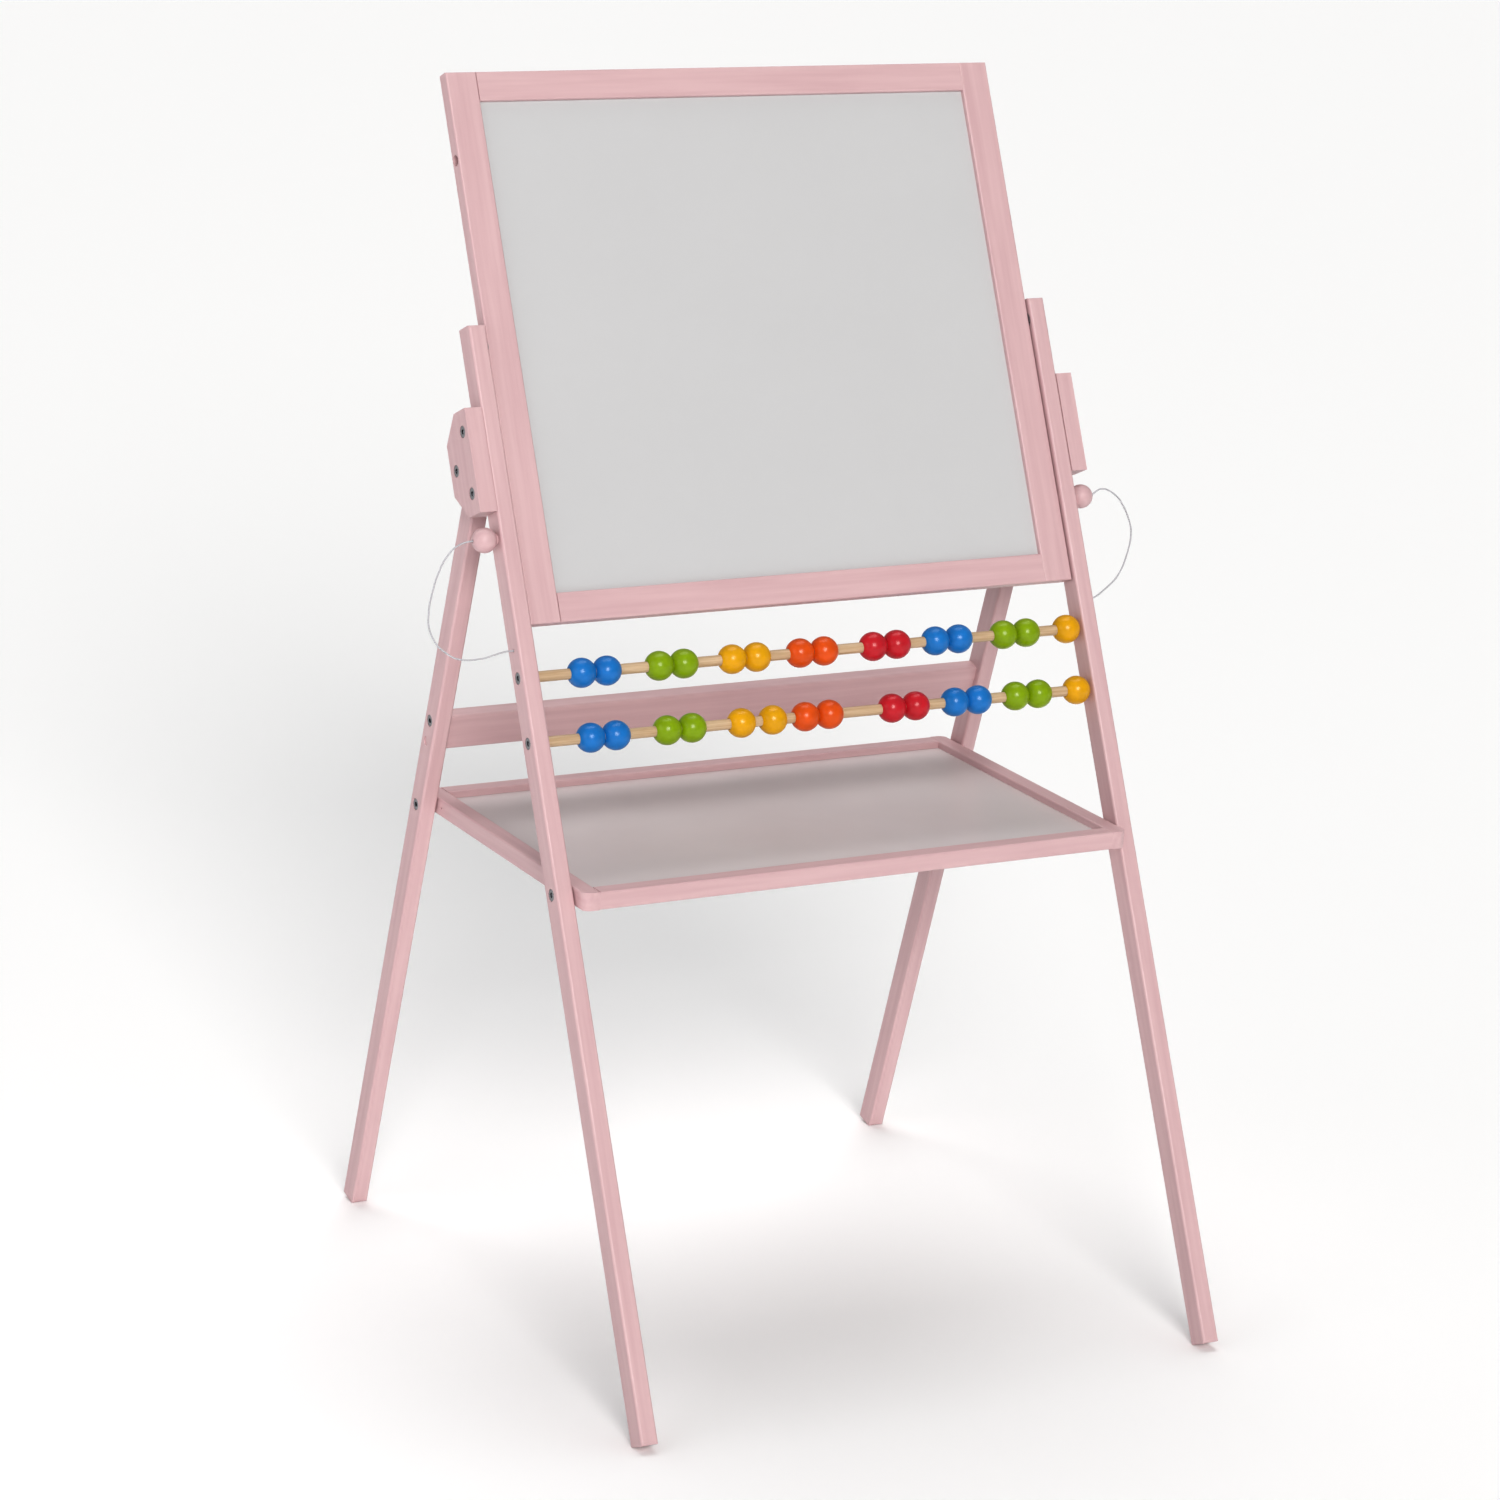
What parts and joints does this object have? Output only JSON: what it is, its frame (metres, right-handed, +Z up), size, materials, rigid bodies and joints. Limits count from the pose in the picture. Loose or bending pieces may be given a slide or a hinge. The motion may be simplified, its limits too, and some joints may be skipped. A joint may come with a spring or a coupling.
{
  "type": "kids easel",
  "caption": "Child's wooden A-frame easel with a flipping whiteboard and chalkboard, abacus bead rods, a shallow tray, and rear legs that fold flat.",
  "frame": {"origin": "on the floor, at the centre of the easel's box without its cords", "axes": "+X to the right seen from the front (the whiteboard's side), +Y to the back, +Z up"},
  "size_m": [0.7239, 0.6126, 1.0771],
  "materials": {
    "pink_wood": "satin painted wood, pale pink",
    "natural_wood": "plain sanded wood",
    "zinc_steel": "zinc-plated",
    "white_cord": "round braided cord",
    "tray_hardboard": "matt lacquered hardboard, warm grey",
    "white_hardboard": "gloss lacquered dry-wipe hardboard",
    "black_hardboard": "matt chalkboard lacquer on hardboard",
    "blue_bead": "gloss lacquered wood",
    "green_bead": "gloss lacquered wood",
    "yellow_bead": "gloss lacquered wood",
    "orange_bead": "gloss lacquered wood",
    "red_bead": "gloss lacquered wood"
  },
  "bodies": {
    "front_frame": {"front_leg_left": "pink_wood", "front_leg_right": "pink_wood", "hinge_plate_left": "pink_wood", "hinge_plate_right": "pink_wood", "abacus_rod_upper": "natural_wood", "abacus_rod_lower": "natural_wood", "frame_bolts": "zinc_steel", "peg_cord_left": "white_cord", "peg_cord_right": "white_cord"},
    "rear_frame": {"rear_leg_left": "pink_wood", "rear_leg_right": "pink_wood", "rear_crossbar": "pink_wood", "rear_bolts": "zinc_steel", "crossbar_dowels": "pink_wood"},
    "tray": {"tray_front_rail": "pink_wood", "tray_rear_rail": "pink_wood", "tray_side_rail_left": "pink_wood", "tray_side_rail_right": "pink_wood", "tray_panel": "tray_hardboard"},
    "board": {"board_stile_left": "pink_wood", "board_stile_right": "pink_wood", "board_top_rail": "pink_wood", "board_bottom_rail": "pink_wood", "board_dowels": "natural_wood", "whiteboard_panel": "white_hardboard", "chalkboard_panel": "black_hardboard", "board_pivot_pins": "zinc_steel", "pivot_washers": "zinc_steel"},
    "left_peg": {"peg_left": "pink_wood"},
    "right_peg": {"peg_right": "pink_wood"},
    "bead_upper_01": {"bead_upper_01": "blue_bead"},
    "bead_upper_02": {"bead_upper_02": "blue_bead"},
    "bead_upper_03": {"bead_upper_03": "green_bead"},
    "bead_upper_04": {"bead_upper_04": "green_bead"},
    "bead_upper_05": {"bead_upper_05": "yellow_bead"},
    "bead_upper_06": {"bead_upper_06": "yellow_bead"},
    "bead_upper_07": {"bead_upper_07": "orange_bead"},
    "bead_upper_08": {"bead_upper_08": "orange_bead"},
    "bead_upper_09": {"bead_upper_09": "red_bead"},
    "bead_upper_10": {"bead_upper_10": "red_bead"},
    "bead_upper_11": {"bead_upper_11": "blue_bead"},
    "bead_upper_12": {"bead_upper_12": "blue_bead"},
    "bead_upper_13": {"bead_upper_13": "green_bead"},
    "bead_upper_14": {"bead_upper_14": "green_bead"},
    "bead_upper_15": {"bead_upper_15": "yellow_bead"},
    "bead_lower_01": {"bead_lower_01": "blue_bead"},
    "bead_lower_02": {"bead_lower_02": "blue_bead"},
    "bead_lower_03": {"bead_lower_03": "green_bead"},
    "bead_lower_04": {"bead_lower_04": "green_bead"},
    "bead_lower_05": {"bead_lower_05": "yellow_bead"},
    "bead_lower_06": {"bead_lower_06": "yellow_bead"},
    "bead_lower_07": {"bead_lower_07": "orange_bead"},
    "bead_lower_08": {"bead_lower_08": "orange_bead"},
    "bead_lower_09": {"bead_lower_09": "red_bead"},
    "bead_lower_10": {"bead_lower_10": "red_bead"},
    "bead_lower_11": {"bead_lower_11": "blue_bead"},
    "bead_lower_12": {"bead_lower_12": "blue_bead"},
    "bead_lower_13": {"bead_lower_13": "green_bead"},
    "bead_lower_14": {"bead_lower_14": "green_bead"},
    "bead_lower_15": {"bead_lower_15": "yellow_bead"}
  },
  "joints": [
    {"name": "rear_frame_fold", "type": "hinge", "parent": "front_frame", "child": "rear_frame", "pos_m": [0, 0.08525, 0.75358], "axis": [1, 0, 0], "range_deg": [-41.1, 0]},
    {"name": "tray_fold", "type": "hinge", "parent": "front_frame", "child": "tray", "pos_m": [0, -0.09687, 0.426], "axis": [1, 0, 0], "range_deg": [-115.41, 0]},
    {"name": "board_flip", "type": "hinge", "parent": "front_frame", "child": "board", "pos_m": [0, 0.10668, 0.85466], "axis": [1, 0, 0], "continuous": true},
    {"name": "left_peg_pull", "type": "slide", "parent": "front_frame", "child": "left_peg", "axis": [-1, 0, 0], "range_m": [0, 0.032], "deforming": ["peg_cord_left"]},
    {"name": "right_peg_pull", "type": "slide", "parent": "front_frame", "child": "right_peg", "axis": [1, 0, 0], "range_m": [0, 0.032], "deforming": ["peg_cord_right"]},
    {"name": "bead_slide_upper_01", "type": "slide", "parent": "front_frame", "child": "bead_upper_01", "axis": [1, 0, 0], "range_m": [-0.03275, 0.00005]},
    {"name": "bead_slide_upper_02", "type": "slide", "parent": "front_frame", "child": "bead_upper_02", "axis": [1, 0, 0], "range_m": [-0.00005, 0.01325]},
    {"name": "bead_slide_upper_03", "type": "slide", "parent": "front_frame", "child": "bead_upper_03", "axis": [1, 0, 0], "range_m": [-0.01325, 0.00005]},
    {"name": "bead_slide_upper_04", "type": "slide", "parent": "front_frame", "child": "bead_upper_04", "axis": [1, 0, 0], "range_m": [-0.00005, 0.01175]},
    {"name": "bead_slide_upper_05", "type": "slide", "parent": "front_frame", "child": "bead_upper_05", "axis": [1, 0, 0], "range_m": [-0.01175, 0.00005]},
    {"name": "bead_slide_upper_06", "type": "slide", "parent": "front_frame", "child": "bead_upper_06", "axis": [1, 0, 0], "range_m": [-0.00005, 0.00975]},
    {"name": "bead_slide_upper_07", "type": "slide", "parent": "front_frame", "child": "bead_upper_07", "axis": [1, 0, 0], "range_m": [-0.00975, 0.00005]},
    {"name": "bead_slide_upper_08", "type": "slide", "parent": "front_frame", "child": "bead_upper_08", "axis": [1, 0, 0], "range_m": [-0.00005, 0.013]},
    {"name": "bead_slide_upper_09", "type": "slide", "parent": "front_frame", "child": "bead_upper_09", "axis": [1, 0, 0], "range_m": [-0.013, 0.00005]},
    {"name": "bead_slide_upper_10", "type": "slide", "parent": "front_frame", "child": "bead_upper_10", "axis": [1, 0, 0], "range_m": [-0.00005, 0.008]},
    {"name": "bead_slide_upper_11", "type": "slide", "parent": "front_frame", "child": "bead_upper_11", "axis": [1, 0, 0], "range_m": [-0.008, 0.00005]},
    {"name": "bead_slide_upper_12", "type": "slide", "parent": "front_frame", "child": "bead_upper_12", "axis": [1, 0, 0], "range_m": [-0.00005, 0.0115]},
    {"name": "bead_slide_upper_13", "type": "slide", "parent": "front_frame", "child": "bead_upper_13", "axis": [1, 0, 0], "range_m": [-0.0115, 0.00005]},
    {"name": "bead_slide_upper_14", "type": "slide", "parent": "front_frame", "child": "bead_upper_14", "axis": [1, 0, 0], "range_m": [-0.00005, 0.00942]},
    {"name": "bead_slide_upper_15", "type": "slide", "parent": "front_frame", "child": "bead_upper_15", "axis": [1, 0, 0], "range_m": [-0.00942, 0.0002]},
    {"name": "bead_slide_lower_01", "type": "slide", "parent": "front_frame", "child": "bead_lower_01", "axis": [1, 0, 0], "range_m": [-0.03175, 0.00005]},
    {"name": "bead_slide_lower_02", "type": "slide", "parent": "front_frame", "child": "bead_lower_02", "axis": [1, 0, 0], "range_m": [-0.00005, 0.01275]},
    {"name": "bead_slide_lower_03", "type": "slide", "parent": "front_frame", "child": "bead_lower_03", "axis": [1, 0, 0], "range_m": [-0.01275, 0.00005]},
    {"name": "bead_slide_lower_04", "type": "slide", "parent": "front_frame", "child": "bead_lower_04", "axis": [1, 0, 0], "range_m": [-0.00005, 0.01225]},
    {"name": "bead_slide_lower_05", "type": "slide", "parent": "front_frame", "child": "bead_lower_05", "axis": [1, 0, 0], "range_m": [-0.01225, 0.00355]},
    {"name": "bead_slide_lower_06", "type": "slide", "parent": "front_frame", "child": "bead_lower_06", "axis": [1, 0, 0], "range_m": [-0.00355, 0.00425]},
    {"name": "bead_slide_lower_07", "type": "slide", "parent": "front_frame", "child": "bead_lower_07", "axis": [1, 0, 0], "range_m": [-0.00425, 0.00005]},
    {"name": "bead_slide_lower_08", "type": "slide", "parent": "front_frame", "child": "bead_lower_08", "axis": [1, 0, 0], "range_m": [-0.00005, 0.02]},
    {"name": "bead_slide_lower_09", "type": "slide", "parent": "front_frame", "child": "bead_lower_09", "axis": [1, 0, 0], "range_m": [-0.02, 0.00005]},
    {"name": "bead_slide_lower_10", "type": "slide", "parent": "front_frame", "child": "bead_lower_10", "axis": [1, 0, 0], "range_m": [-0.00005, 0.00825]},
    {"name": "bead_slide_lower_11", "type": "slide", "parent": "front_frame", "child": "bead_lower_11", "axis": [1, 0, 0], "range_m": [-0.00825, 0.00005]},
    {"name": "bead_slide_lower_12", "type": "slide", "parent": "front_frame", "child": "bead_lower_12", "axis": [1, 0, 0], "range_m": [-0.00005, 0.00775]},
    {"name": "bead_slide_lower_13", "type": "slide", "parent": "front_frame", "child": "bead_lower_13", "axis": [1, 0, 0], "range_m": [-0.00775, 0.00005]},
    {"name": "bead_slide_lower_14", "type": "slide", "parent": "front_frame", "child": "bead_lower_14", "axis": [1, 0, 0], "range_m": [-0.00005, 0.00842]},
    {"name": "bead_slide_lower_15", "type": "slide", "parent": "front_frame", "child": "bead_lower_15", "axis": [1, 0, 0], "range_m": [-0.00842, 0.0002]}
  ],
  "couplings": [
    {"joint": "tray_fold", "follows": "rear_frame_fold", "ratio": 2.8078}
  ]
}
